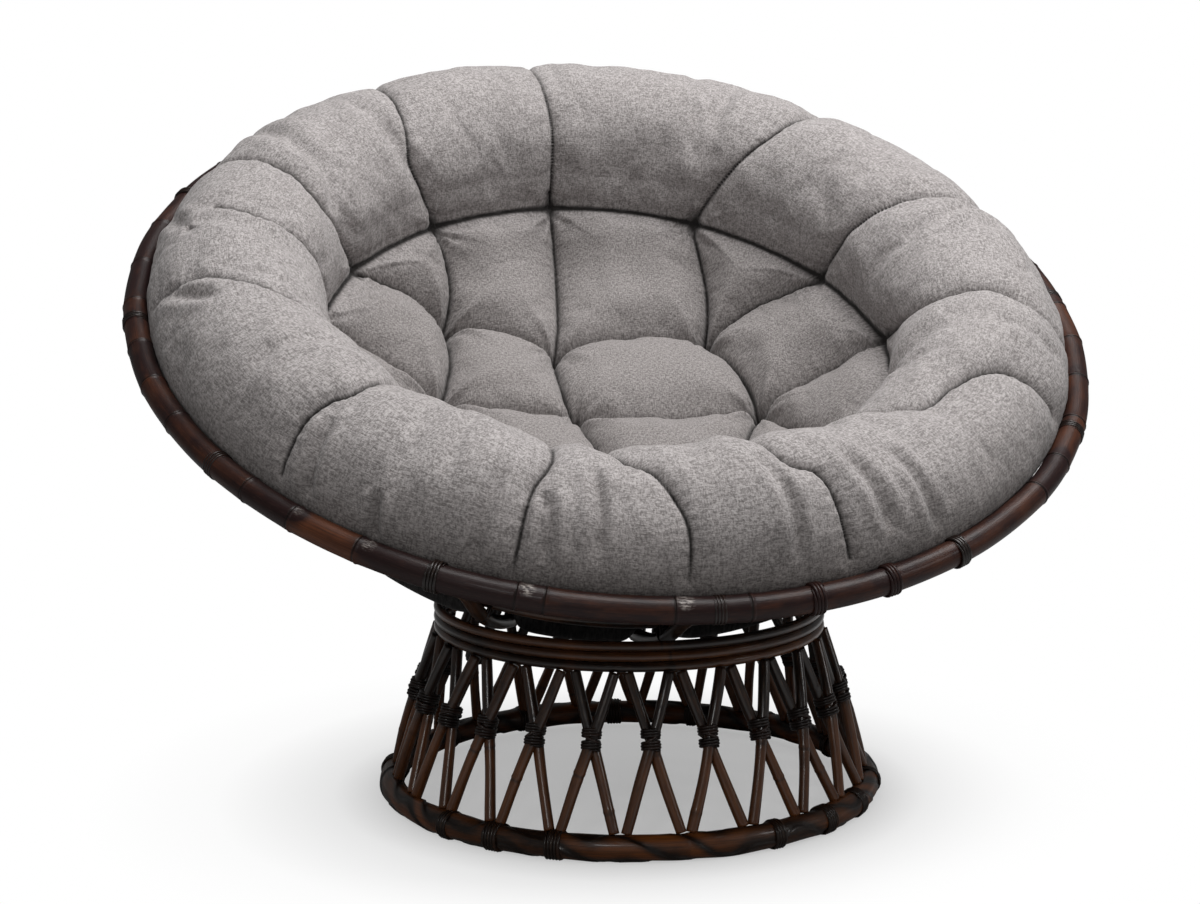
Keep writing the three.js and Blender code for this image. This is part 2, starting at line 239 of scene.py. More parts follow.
# Stained and varnished cane: streaks run along the rod, dark stain gathers in its joints
def caneMaterial(name, look):
    material, nodes, links, shader = newMaterial(name)
    uv = nodes.new("ShaderNodeUVMap")
    uv.uv_map = "grain"
    tone = nodes.new("ShaderNodeAttribute")
    tone.attribute_name = "tone"
    mark = nodes.new("ShaderNodeAttribute")
    mark.attribute_name = "mark"
    streaks = noiseOf(nodes, links, uv.outputs["UV"], 1.0, 5, 0.62, (16, 900, 1))
    fibres = noiseOf(nodes, links, uv.outputs["UV"], 1.0, 2, 0.5, (60, 2600, 1))
    patches = noiseOf(nodes, links, uv.outputs["UV"], 1.0, 3, 0.6, (22, 60, 1))
    warmth = arithmetic(nodes, links, "ADD", tone.outputs["Fac"], arithmetic(nodes, links, "MULTIPLY_ADD", patches, 0.9, -0.45))
    colour = mixed(nodes, links, ranged(nodes, links, warmth, 0.25, 0.95), look["dark"], look["warm"])
    colour = mixed(nodes, links, ranged(nodes, links, streaks, 0.42, 0.72, 0, 0.75), colour, look["stain"])
    colour = mixed(nodes, links, ranged(nodes, links, fibres, 0.62, 0.8, 0, look["rub"]), colour, look["pale"])
    # painted glints: where a rod's tone falls below zero its colour turns pale grey; only the rim's glint spots beside
    # its joints go so low
    bare = arithmetic(nodes, links, "MULTIPLY", ranged(nodes, links, tone.outputs["Fac"], -0.3, -1.3, 0, 0.8),
                      ranged(nodes, links, noiseOf(nodes, links, uv.outputs["UV"], 1.0, 4, 0.65, (150, 420, 1)), 0.46, 0.62))
    colour = mixed(nodes, links, bare, colour, look["bare"])
    colour = mixed(nodes, links, mark.outputs["Fac"], colour, (0.006, 0.003, 0.002))
    links.new(colour, shader.inputs["Base Color"])
    gloss = arithmetic(nodes, links, "MULTIPLY_ADD", streaks, 0.22, look["roughness"] - 0.11)
    links.new(gloss, shader.inputs["Roughness"])
    shader.inputs["Specular IOR Level"].default_value = look["specular"]
    shader.inputs["Coat Weight"].default_value = look["coat"]
    shader.inputs["Coat Roughness"].default_value = 0.11
    relief = nodes.new("ShaderNodeBump")
    relief.inputs["Strength"].default_value = 0.35
    relief.inputs["Distance"].default_value = 0.0006
    height = arithmetic(nodes, links, "ADD", streaks, arithmetic(nodes, links, "MULTIPLY", fibres, 0.5))
    links.new(height, relief.inputs["Height"])
    links.new(relief.outputs["Normal"], shader.inputs["Normal"])
    return material


rimCane = caneMaterial("rim cane", {
    "dark": (0.0175, 0.0062, 0.0058), "warm": (0.120, 0.038, 0.014), "stain": (0.006, 0.0030, 0.0030),
    "pale": (0.15, 0.085, 0.06), "rub": 0.45, "roughness": 0.40, "specular": 0.22, "coat": 0.05, "bare": (0.40, 0.36, 0.33),
})
frameCane = caneMaterial("frame cane", {
    "dark": (0.013, 0.0055, 0.0030), "warm": (0.17, 0.055, 0.014), "stain": (0.005, 0.0024, 0.0016),
    "pale": (0.34, 0.18, 0.07), "rub": 0.55, "roughness": 0.32, "specular": 0.4, "coat": 0.42, "bare": (0.30, 0.20, 0.12),
})
floorCane = caneMaterial("floor cane", {
    "dark": (0.013, 0.0050, 0.0018), "warm": (0.16, 0.047, 0.009), "stain": (0.006, 0.0026, 0.0013),
    "pale": (0.26, 0.12, 0.04), "rub": 0.5, "roughness": 0.36, "specular": 0.4, "coat": 0.2, "bare": (0.30, 0.20, 0.12),
})
peel = caneMaterial("lashing peel", {
    "dark": (0.009, 0.0042, 0.0028), "warm": (0.055, 0.019, 0.009), "stain": (0.004, 0.0021, 0.0016),
    "pale": (0.11, 0.06, 0.03), "rub": 0.35, "roughness": 0.38, "specular": 0.4, "coat": 0.2, "bare": (0.20, 0.13, 0.08),
})
print("cane materials made")


# Drum base

floorHoop = {
    "radius": 0.2652, "pole": 0.0129, "height": 0.0143, "steps": 1100, "sides": 60,
    "leafPitch": 0.125, "leafStrips": 3, "leafStep": 0.0015, "edgeWidth": 0.045, "clearance": 0.0003,
    "bindings": (-107.8, -57.6, -44.0, -29.3, 21.4, 37.4, 52.4, 71.2, 103, 128, 150, 171, 196, 221, 238),
}


# The bottom hoop is wrapped in long leaves of peel: each strip's edge stands a little over the next.
def makeFloorHoop():
    h = floorHoop
    degrees = np.arange(h["steps"]) / h["steps"] * 360
    path = onCircle(h["radius"], degrees, h["height"])
    length = 2 * math.pi * h["radius"]
    along = degrees / 360 * length
    around = np.arange(h["sides"]) / h["sides"]
    turns = round(length / h["leafPitch"])
    drift = 0.45 * np.sin(np.radians(degrees) * 5 + 1) + 0.3 * np.sin(np.radians(degrees) * 11)
    pinch = 0.16 * np.sin(2 * math.pi * (along[:, None] / length * turns * 2 - around[None, :]))
    phase = (along[:, None] / length * turns + drift[:, None] + pinch - h["leafStrips"] * around[None, :]) % 1
    leaf = phase**1.4 - np.clip((phase - 0.93) / 0.07, 0, 1)
    edge = bump(np.minimum(phase, 1 - phase), h["edgeWidth"])
    radius = h["pole"] + h["leafStep"] * leaf + 0.0004 * np.sin(along * 37)[:, None]
    tone = 0.12 + 0.85 * np.sin(math.pi * phase) ** 1.5 * (0.7 + 0.3 * np.sin(along[:, None] * 23 + 2))
    rods = [sweep(path, radius, h["sides"], (0, 0, 1), True, tone, 0.85 * edge)]
    for degree in h["bindings"]:
        centre = onCircle(h["radius"], degree, h["height"])
        tangent = onCircle(1.0, degree + 90, 0.0)
        turnsHere = 3 + int(chance.integers(0, 3))
        ring = h["pole"] + 0.0012
        rods.append(windings(centre, tangent, (0, 0, 1), ring, ring, turnsHere, 0.0034, 0.0019, 0.25))
    for rod in rods:
        rod["points"][:, 2] = np.maximum(rod["points"][:, 2], h["clearance"])
    piece("floorHoop", rods, basePlace, floorCane, "base", "floor_rattan", "floor_hoop")


stack = {
    "radius": 0.2109, "cane": 0.00536, "heights": (0.189266, 0.200099, 0.210931), "steps": 720, "sides": 16,
}


def makeStackHoop(k, name, body, node):
    s = stack
    degrees = np.arange(s["steps"]) / s["steps"] * 360
    length = 2 * math.pi * s["radius"]
    along = degrees / 360 * length
    relief, dark = caneJoints(along, chance.uniform(0, 1, 5) * length, 0.00003, length)
    path = onCircle(s["radius"], degrees, s["heights"][k])
    tone = 0.42 + 0.2 * np.sin(along * 9 + k * 2.1)
    hoop = sweep(path, s["cane"] + relief, s["sides"], (0, 0, 1), True, tone, dark * 0.8)
    piece(name, [hoop], basePlace, frameCane, body, "frame_rattan", node)


lattice = {
    "crossings": 24, "crossingHeight": 0.118, "bow": 0.0040, "rod": 0.0058,
    "footRadius": 0.2652, "headRadius": 0.2109, "footHeight": 0.0272, "headHeight": 0.1838,
    "footSpread": 0.0285, "headSpread": 0.0213,
    "steps": 60, "sides": 14,
}


# One bent rod of a crossing in front, at -Y: it runs nearly upright under the lashing
def latticeRod(side, wobble):
    g = lattice
    z = np.linspace(g["footHeight"], g["headHeight"], g["steps"])
    drop = (g["crossingHeight"] - z) / (g["crossingHeight"] - g["footHeight"])
    rise = (z - g["crossingHeight"]) / (g["headHeight"] - g["crossingHeight"])
    low = -g["footSpread"] * np.clip(drop, 0, 1) ** 1.06
    high = g["headSpread"] * np.clip(rise, 0, 1) ** 0.92
    x = side * (low + high) + wobble * np.sin(z * 60)
    share = (z - 0.0136) / (0.1893 - 0.0136)
    reach = g["footRadius"] + (g["headRadius"] - g["footRadius"]) * share
    reach += side * g["bow"] * np.cos(np.clip((z - g["crossingHeight"]) / 0.09, -1, 1) * math.pi / 2)
    y = -np.sqrt(reach**2 - x**2)
    return np.stack([x, y, z], -1)


def makeLattice():
    g = lattice
    rods, ties = [], []
    for k in range(g["crossings"]):
        place = np.array(Matrix.Rotation((k + 0.5) / g["crossings"] * 2 * math.pi, 4, "Z"))
        for side in (1, -1):
            path = latticeRod(side, chance.uniform(-0.0006, 0.0006))
            along = path[:, 2]
            relief, dark = caneJoints(along, [chance.uniform(0.04, 0.17)], 0.0004)
            # painted light and shade: the lower legs are painted lighter and warmer, where light falls on them, and the
            # upper legs darker, in the bowl's shade
            lower = np.clip((g["crossingHeight"] - along) / 0.03, 0, 1)
            tone = 0.28 + 0.42 * lower + chance.uniform(-0.12, 0.12)
            taper = g["rod"] * (1 + 0.05 * np.sin(along * 45 + k))
            out = np.stack([np.zeros_like(along), -np.ones_like(along), np.full_like(along, 0.3)], -1)
            rod = sweep(path, taper + relief, g["sides"], out, tone=tone, mark=dark * 0.7)
            rod["points"] = moved(rod["points"], place)
            rods.append(rod)
        ties += [{**tie, "points": moved(tie["points"], place)} for tie in crossingTie(k)]
    piece("latticeRods", rods, basePlace, frameCane, "base", "frame_rattan",
          *[f"lattice_crossing_{k + 1:02d}" for k in range(g["crossings"])])
    piece("latticeTies", ties, basePlace, peel, "base", "frame_rattan")


# Peel wound round a crossing in two coils, with one diagonal turn between them
def crossingTie(k):
    g = lattice
    middle = g["footRadius"] + (g["headRadius"] - g["footRadius"]) * (g["crossingHeight"] - 0.0136) / 0.1757
    slope = math.atan2(g["footRadius"] - g["headRadius"], 0.1757)
    axis = (0, math.sin(slope), math.cos(slope))
    out = (0, -math.cos(slope), math.sin(slope))
    centre = np.array([0, -middle, g["crossingHeight"]])
    coils = []
    for shift in (-0.0062, 0.0062):
        coils.append(windings(centre + shift * np.array(axis), axis, out, 0.0092, 0.0112, 3.4, 0.0029, 0.0017,
                              0.25 + 0.1 * math.sin(k * 2.3 + shift * 200), 24,
                              lambda t: 1 - 0.1 * np.abs(2 * t - 1) ** 2))
    tilted = unit(np.array(axis) + np.array([0.55 * (-1) ** k, 0, 0]))
    coils.append(windings(centre, tilted, out, 0.0088, 0.0118, 1.5, 0.0024, 0.0017, 0.35, 24))
    return coils


makeFloorHoop()
makeStackHoop(0, "stackHoopLower", "base", "stack_hoop_lower")
makeStackHoop(1, "stackHoopMiddle", "base", "stack_hoop_middle")
makeStackHoop(2, "seatHoop", "seat_ring", "seat_hoop")
makeLattice()
print("drum base made")


# Bowl, about the centre that it tilts round, with its axis along +Z

rim = {
    "radius": 0.525, "drop": 0.190, "pole": 0.0136, "sides": 28,
    "joints": (-102.7, -93.7, -84.7, -76.8, -69.2, -54.5, -47.5, -39, -21.2, -18.2, -4.8, 3.2,
               45.8, 52.8, 61.8, 71.2, 79.8, 87.5, 96.8),
    "hiddenJointStep": 8.9, "bindings": (10.8, 20.0), "rubbed": (312.5, 324.0),
    # where pale spots are painted beside a joint, partly worn varnish and partly painted glints of highlight on the
    # pole's upper side, and how much
    "wearAndGlints": ((313.3, 0.7), (322.3, 0.9), (339.9, 1.0), (356.3, 1.0), (18.4, 0.5), (53.4, 0.4), (72.0, 0.4)),
    "glintSide": 0.15,
}


def makeRim():
    hidden = np.arange(105.5, 249, rim["hiddenJointStep"])
    places = np.concatenate([rim["joints"], hidden + chance.uniform(-1.2, 1.2, len(hidden))]) % 360
    fine = np.concatenate([places[:, None] + np.linspace(-0.6, 0.8, 22)[None, :]]).reshape(-1) % 360
    degrees = np.unique(np.round(np.concatenate([np.arange(0, 360, 0.6), fine]), 4))
    length = 2 * math.pi * rim["radius"]
    along = degrees / 360 * length
    relief, dark = caneJoints(along, places / 360 * length, 0.0007, length)
    sway = 0.0005 * np.sin(np.radians(degrees) * 9) + 0.0004 * np.sin(np.radians(degrees) * 23 + 1)
    path = onCircle(rim["radius"] + sway, degrees, -rim["drop"] + 0.5 * sway)
    reddish = bump((degrees - 75 + 180) % 360 - 180, 35) + 0.5 * bump((degrees - 285 + 180) % 360 - 180, 30)
    rubbed = np.clip((degrees - rim["rubbed"][0]) / 2.5, 0, 1) * np.clip((rim["rubbed"][1] - degrees) / 5, 0, 1)
    section = np.searchsorted(np.sort(places), degrees)
    tone = 0.24 + 0.2 * reddish + 0.12 * np.sin(section * 2.4) + 0.42 * rubbed
    # painted glints: pale spots beside joints, partly worn varnish and partly painted highlight, on the pole's upper
    # side where the light catches it
    glintsAndWear = sum(much * bump((degrees - place + 180) % 360 - 180, 0.9) for place, much in rim["wearAndGlints"])
    around = np.arange(rim["sides"]) / rim["sides"] * 2 * math.pi
    lean = rim["glintSide"] * np.cos(np.radians(degrees))
    glintFacing = np.clip(np.cos(around[None, :] - lean[:, None]), 0, 1) ** 4
    tone = tone[:, None] - 2.0 * glintsAndWear[:, None] * glintFacing
    pole = sweep(path, rim["pole"] + relief, rim["sides"], (0, 0, 1), True, tone, dark * 0.9)
    rods = [pole]
    for degree in rim["bindings"]:
        centre = onCircle(rim["radius"], degree, -rim["drop"])
        ring = rim["pole"] + 0.0011
        rods.append(windings(centre, onCircle(1.0, degree + 90, 0.0), (0, 0, 1), ring, ring, 4, 0.0035, 0.0019, 0.3))
    piece("rimPole", rods, bowlPlace, rimCane, "bowl", "rim_rattan", "rim_hoop")


ribs = {
    "count": 12, "sphere": 0.5127, "radius": 0.0078, "start": 12.3, "straight": 53.0,
    "hoopAngles": (31.0, 47.0), "hoopSphere": 0.4978, "hoopCane": 0.0059,
    "footCane": 0.0079, "sides": 16,
    # the ribs whose lashing shows on the rim; the others are bound flat
    "boundInSight": (30, 120, 150, 180, 210, 240, 330),
}


def onSphere(radius, degrees):
    a = np.radians(degrees)
    return np.stack([radius * np.sin(a), -radius * np.cos(a)], -1)


# A rib's middle line in its own plane, distance from the axis and height
def ribLine():
    bend = onSphere(ribs["sphere"], ribs["straight"])
    end = np.array([rim["radius"], -rim["drop"]])
    heading = np.array([math.cos(math.radians(ribs["straight"])), math.sin(math.radians(ribs["straight"]))])
    whole = np.linalg.norm(end - bend)
    handle = bend + heading * whole / 2
    last = 1 - (rim["pole"] + 0.0006) / whole
    t = np.linspace(0, last, 30)[1:, None]
    top = (1 - t) ** 2 * bend + 2 * t * (1 - t) * handle + t**2 * end
    return np.vstack([onSphere(ribs["sphere"], np.linspace(ribs["start"], ribs["straight"], 60)), top])


def makeRibs():
    line = ribLine()
    rods, ties = [], []
    length = np.concatenate([[0], np.cumsum(np.linalg.norm(np.diff(line, axis=0), axis=1))])
    for k in range(ribs["count"]):
        degree = k * 360 / ribs["count"]
        path = onCircle(line[:, 0], degree, line[:, 1])
        relief, dark = caneJoints(length, chance.uniform(0.05, 0.5, 2), 0.0005)
        inwards = -unit(path)
        tone = 0.3 + chance.uniform(-0.1, 0.15)
        rods.append(sweep(path, ribs["radius"] + np.minimum(relief, 0.0003), ribs["sides"], inwards, tone=tone, mark=dark * 0.8))
        centre = onCircle(rim["radius"], degree, -rim["drop"])
        bound = degree in ribs["boundInSight"]
        ring = rim["pole"] + (0.0012 if bound else 0.0002)
        strip = 0.0017 if bound else 0.0011
        ties.append(windings(centre, onCircle(1.0, degree + 90, 0.0), (0, 0, 1), ring, ring, 4, 0.0033, strip, 0.3))
        for angle in ribs["hoopAngles"]:
            ties += hoopTie(degree, angle)
    names = [f"rib_{k + 1:02d}" for k in range(ribs["count"])]
    piece("bowlRibs", rods, bowlPlace, frameCane, "bowl", "frame_rattan", *names)
    piece("bowlTies", ties, bowlPlace, peel, "bowl", "frame_rattan")


# Two slanting turns of peel that hold a rib and an inner hoop together
def hoopTie(degree, angle):
    between = (ribs["sphere"] + ribs["hoopSphere"]) / 2
    at = onSphere(between, angle)
    centre = onCircle(at[0], degree, at[1])
    out = unit(centre)
    sideways = onCircle(1.0, degree + 90, 0.0)
    upwards = np.cross(out, sideways)
    turns = []
    for slant in (1, -1):
        axis = unit(sideways + slant * upwards)
        turns.append(windings(centre, axis, out, 0.0102, 0.0152, 2, 0.0028, 0.0013, 0.3, 26))
    return turns


def makeBowlHoop(name, at, cane, node):
    degrees = np.arange(0, 360, 0.8)
    length = 2 * math.pi * at[0]
    along = degrees / 360 * length
    relief, dark = caneJoints(along, chance.uniform(0, 1, 6) * length, 0.0003, length)
    path = onCircle(at[0], degrees, at[1])
    tone = 0.32 + 0.15 * np.sin(along * 7)
    hoop = sweep(path, cane + relief, 16, (0, 0, 1), True, tone, dark * 0.8)
    piece(name, [hoop], bowlPlace, frameCane, "bowl", "frame_rattan", node)


makeRim()
makeRibs()
makeBowlHoop("bowlHoopLower", onSphere(ribs["hoopSphere"], ribs["hoopAngles"][0]), ribs["hoopCane"], "bowl_hoop_lower")
makeBowlHoop("bowlHoopUpper", onSphere(ribs["hoopSphere"], ribs["hoopAngles"][1]), ribs["hoopCane"], "bowl_hoop_upper")
footAt = onSphere(ribs["sphere"], ribs["start"]) - 0.0083 * np.array([math.cos(math.radians(12.3)), math.sin(math.radians(12.3))])
makeBowlHoop("bowlFootHoop", footAt, ribs["footCane"], "bowl_foot_hoop")
print("bowl made")


# Cushion, in the bowl's own frame with heights from the rim's plane. Angles run from the front (-Y) towards +X.

cushionForm = {
    "outerRadius": 0.5125, "rollHeight": -0.003, "rollWidth": 0.0952, "rollDepth": 0.088,
    "padEdgeHeight": -0.045, "padCentreHeight": -0.128, "padRise": 4, "footSlant": 0.15,
    "sideGap": 0.0092, "undersideSphere": 0.4880,
    # along the back the roll's foot leans in over the pad: how far, and over what width the pad gives way
    "footLean": 0.014, "leanWidth": 0.050, "cornerTurn": 0.018,
    "shadeLiningHeight": -0.014,
    # the cloth's dark underside, painted shade, bulges out between the canes of the bowl: how far, from how near a
    # cane, over what width
    "bulge": 0.027, "bulgeFrom": 0.013, "bulgeOver": 0.022,
    # how far the roll's top stands over its even round, by angle
    "lift": ((0, 0.012), (4, 0.018), (10, 0.017), (20, 0.006), (30, -0.004), (40, -0.008), (55, 0.0), (70, 0.002),
             (90, 0.0), (120, -0.004), (180, -0.005), (240, -0.001), (270, 0.006), (290, 0.014), (305, 0.017),
             (314, 0.010), (321, 0.007), (328, 0.009), (335, 0.003), (342, 0.0), (348, 0.0), (354, 0.006), (360, 0.012)),
}
rollRadius = cushionForm["outerRadius"] - cushionForm["rollWidth"]
footTurn = math.pi + math.asin((cushionForm["rollHeight"] - cushionForm["padEdgeHeight"]) / cushionForm["rollDepth"])


# Distance from the axis of a place on the roll's round; below its inner side the round runs nearly straight down
def rollReach(turn):
    c = cushionForm
    reach = rollRadius + c["rollWidth"] * np.cos(turn)
    inside = rollRadius - c["rollWidth"]
    return np.where(turn > math.pi, inside + (reach - inside) * c["footSlant"], reach)


padEdge = float(rollReach(footTurn))


def dishHeight(radius):
    c = cushionForm
    return c["padCentreHeight"] + (c["padEdgeHeight"] - c["padCentreHeight"]) * (radius / padEdge) ** c["padRise"]


# A point of the roll's even round: across runs from the pad's edge (0) over the crest to the rim (1)
def onRoll(degrees, across):
    c = cushionForm
    turn = footTurn * (1 - np.asarray(across, float))
    table = np.array(c["lift"])
    lift = np.interp(np.mod(degrees, 360), table[:, 0], table[:, 1]) * np.clip(np.sin(turn), 0, 1) ** 1.5
    return onCircle(rollReach(turn), degrees, c["rollHeight"] + c["rollDepth"] * np.sin(turn) + lift)


def onPad(x, y):
    return np.stack(np.broadcast_arrays(x, y, dishHeight(np.hypot(x, y))), -1)


# 1 where the bowl's canes are far from a place on the sphere, 0 close to one
def betweenCanes(angle, degrees):
    c = cushionForm
    step = 360 / ribs["count"]
    sideways = np.abs((np.asarray(degrees) + step / 2) % step - step / 2)
    toRib = np.radians(sideways) * ribs["sphere"] * math.sin(math.radians(angle))
    if angle < ribs["start"]:
        toRib = np.full_like(toRib, 1.0)
    hoopsAt = (*ribs["hoopAngles"], ribs["start"] - 0.8)
    toHoop = min(abs(math.radians(angle - at)) * ribs["sphere"] for at in hoopsAt)
    room = (np.minimum(toRib, toHoop) - c["bulgeFrom"]) / c["bulgeOver"]
    low = min(1, max(0, (50 - angle) / 6))
    room = np.clip(room, 0, 1)
    return room * room * (3 - 2 * room) * low


# The even form as a grid of rings from the pad's middle over the roll and down the side to the bottom
def cushionRings(degrees):
    c = cushionForm
    line = ribLine()
    top = line[line[:, 1] >= line[60, 1]][::-1]
    side = unit(np.gradient(top, axis=0))
    inside = top + c["sideGap"] * np.stack([side[:, 1], -side[:, 0]], -1)
    inside = inside[(inside[:, 1] < -rim["drop"] - 0.02)]
    rings = [onCircle(r, degrees, dishHeight(r)) for r in np.linspace(0.002, padEdge, 60)[:-1]]
    rings += [onRoll(degrees, t) for t in np.linspace(0, 1, 115)]
    rings += [onCircle(r, degrees, h + rim["drop"]) for r, h in inside[::2]]
    for angle in np.linspace(51, 0.3, 110):
        at = onSphere(1.0, angle)
        reach = c["undersideSphere"] + c["bulge"] * betweenCanes(angle, degrees)
        rings.append(onCircle(reach * at[0], degrees, reach * at[1] + rim["drop"]))
    return np.array(rings)


tufts = {
    "edge": (2, 31, 60, 91, 116, 149, 181.5, 210, 236, 256, 284, 308, 331),
    # the pad's own tufts as shares of its radius, to the right and to the back
    "inner": {"middle": (-0.08, 0.0), "back": (-0.08, 0.37), "backLeft": (-0.43, 0.48), "left": (-0.51, 0.09),
              "frontLeft": (-0.37, -0.35), "front": (0.0, -0.47), "frontRight": (0.36, -0.39),
              "right": (0.53, -0.02), "backRight": (0.43, 0.37)},
    "circle": 0.350, "edgeHeight": -0.057, "innerHeight": -0.164,
    "seamDepth": 0.019, "edgeSeamDepth": 0.0055, "spread": 0.030,
}
# Seams of the pad from tuft to tuft, and how far each is bowed to the left of its way, as a share of its length
padSeams = (
    ("middle", "back", 0.05), ("middle", "left", 0.04), ("middle", "front", 0), ("middle", "right", -0.05),
    ("back", "backLeft", -0.11), ("backLeft", "left", 0.05), ("left", "frontLeft", 0), ("frontLeft", "front", 0),
    ("front", "frontRight", 0), ("frontRight", "right", 0), ("right", "backRight", -0.08), ("backRight", "back", -0.10),
    (181.5, "back", 0.045), (210, "backLeft", 0.12), (236, "backLeft", 0.16), (256, "left", 0.15), (284, "left", 0.05),
    (308, "frontLeft", 0), (331, "frontLeft", 0), (331, "front", 0), (2, "front", 0), (31, "frontRight", 0),
    (60, "right", 0.06), (91, "right", -0.1), (116, "backRight", -0.14), (149, "backRight", 0.07),
)
# Seams over the roll: depth on its inner face and on its top, then angle and share across
rollSeams = (
    (0.012, 0.0045, (181.5, 0), (181.5, 0.31), (182.2, 0.55), (182.5, 0.8), (182.5, 0.97)),
    (0.014, 0.006, (210, 0), (213.8, 0.27), (210.8, 0.48), (208.8, 0.61), (207, 0.85), (207, 0.97)),
    (0.014, 0.007, (149, 0), (142, 0.3), (138, 0.48), (136, 0.7), (135, 0.95)),
    (0.015, 0.008, (116, 0), (111.5, 0.25), (105.8, 0.57), (104, 0.8), (103, 0.95)),
    (0.018, 0.011, (91, 0), (82, 0.18), (78, 0.32), (76.8, 0.43), (76.5, 0.6), (74.8, 0.7), (74, 0.9)),
    (0.015, 0.013, (31, 0), (36, 0.3), (41, 0.5), (48, 0.53), (53.2, 0.59), (57, 0.69), (58, 0.9)),
    (0.014, 0.012, (2, 0), (8, 0.3), (11, 0.57), (14.5, 0.64), (15.5, 0.75), (16, 0.92)),
    (0.012, 0.008, (331, 0), (343, 0.2), (347, 0.38), (349.5, 0.5), (353.2, 0.58), (356, 0.71), (357, 0.8), (357, 0.93)),
    (0.011, 0.009, (331, 0), (337, 0.3), (339.5, 0.53), (338.2, 0.69), (338, 0.86), (338, 0.95)),
    (0.014, 0.009, (308, 0), (310, 0.3), (310.5, 0.56), (309, 0.66), (308, 0.77), (308.5, 0.92)),
    (0.014, 0.006, (236, 0), (243, 0.3), (241, 0.5), (239.5, 0.7), (239, 0.92)),
    (0.008, 0.0035, (284, 0), (285, 0.25), (283.2, 0.46), (278.5, 0.58), (274.8, 0.68), (272.5, 0.81), (271, 0.92)),
    (0.010, 0.004, (256, 0), (257, 0.2), (258, 0.4), (257.5, 0.55), (256, 0.66)),
)
# Folds that lie between the seams: depth, width, then angle and share across
rollFolds = (
    (0.006, 0.010, (149, 0.05), (149, 0.3), (149.3, 0.5), (149.5, 0.72)),
    (0.007, 0.012, (236.6, 0.12), (239, 0.29), (236, 0.4), (233.5, 0.56), (230.8, 0.74), (231, 0.86)),
    (0.006, 0.012, (217.8, 0.67), (216.2, 0.51), (216, 0.35), (213, 0.16)),
    (0.004, 0.014, (268, 0.15), (264.2, 0.42), (261.8, 0.57), (260, 0.75)),
    (0.005, 0.009, (251.5, 0.88), (257, 0.79), (263.2, 0.68)),
    (0.006, 0.008, (271.8, 0.84), (277, 0.75), (281, 0.66)),
    (0.008, 0.007, (311.2, 0.70), (312.3, 0.85), (312.8, 0.94)),
    (0.009, 0.006, (321.2, 0.82), (322, 0.97)),
    (0.009, 0.007, (340.2, 0.68), (340.8, 0.78), (341, 0.9)),
    (0.007, 0.007, (334, 0.60), (333.5, 0.82), (333.5, 0.94)),
    (0.007, 0.006, (345, 0.56), (346.5, 0.72), (346.5, 0.88)),
    (0.006, 0.014, (60, 0.03), (63, 0.25), (66, 0.42)),
    (0.005, 0.012, (46, 0.05), (50, 0.25), (58, 0.40)),
    (0.008, 0.008, (19, 0.54), (21, 0.75), (21.5, 0.88)),
    (0.006, 0.007, (26, 0.60), (27.5, 0.78), (28, 0.92)),
    (0.007, 0.007, (7, 0.56), (9, 0.75), (9, 0.90)),
    (0.004, 0.012, (92, 0.45), (95, 0.6), (95.5, 0.75)),
    (0.005, 0.008, (97, 0.50), (100, 0.60), (101, 0.72)),
    (0.004, 0.010, (66, 0.55), (66.5, 0.68), (66, 0.85)),
    (0.004, 0.009, (298, 0.45), (297, 0.62), (298, 0.80)),
    (0.004, 0.008, (326, 0.42), (327, 0.58), (328, 0.74)),
)


def routed(points, step=0.002):
    length = np.concatenate([[0], np.cumsum(np.linalg.norm(np.diff(points, axis=0), axis=1))])
    even = np.linspace(0, length[-1], max(3, int(length[-1] / step)))
    return np.stack([np.interp(even, length, points[:, k]) for k in range(3)], -1)


# A smooth run through a few stops, each an angle and a share across
def throughStops(stops):
    stops = np.array(stops, float)
    t = np.linspace(0, len(stops) - 1, 24 * (len(stops) - 1))
    k = np.clip(t.astype(int), 0, len(stops) - 2)
    s = (t - k)[:, None]
    before, after = stops[np.maximum(k - 1, 0)], stops[np.minimum(k + 2, len(stops) - 1)]
    a, b = stops[k], stops[k + 1]
    route = 0.5 * (2 * a + (b - before) * s + (2 * before - 5 * a + 4 * b - after) * s**2 + (3 * a - before - 3 * b + after) * s**3)
    return onRoll(route[:, 0], route[:, 1]), route[:, 1]


def tuftPlace(name):
    if isinstance(name, str):
        x, y = np.array(tufts["inner"][name]) * tufts["circle"]
        return onPad(x, y)
    return onRoll(name, 0.0)


# How deep a tuft is drawn in at a place: to one height on the pad, to another along its edge
def tuftDepth(places):
    t = tufts
    radius = np.hypot(places[:, 0], places[:, 1])
    inner = dishHeight(radius) - t["innerHeight"]
    edge = cushionForm["padEdgeHeight"] - t["edgeHeight"]
    return edge + (inner - edge) * np.clip((padEdge - 0.03 - radius) / 0.05, 0, 1)


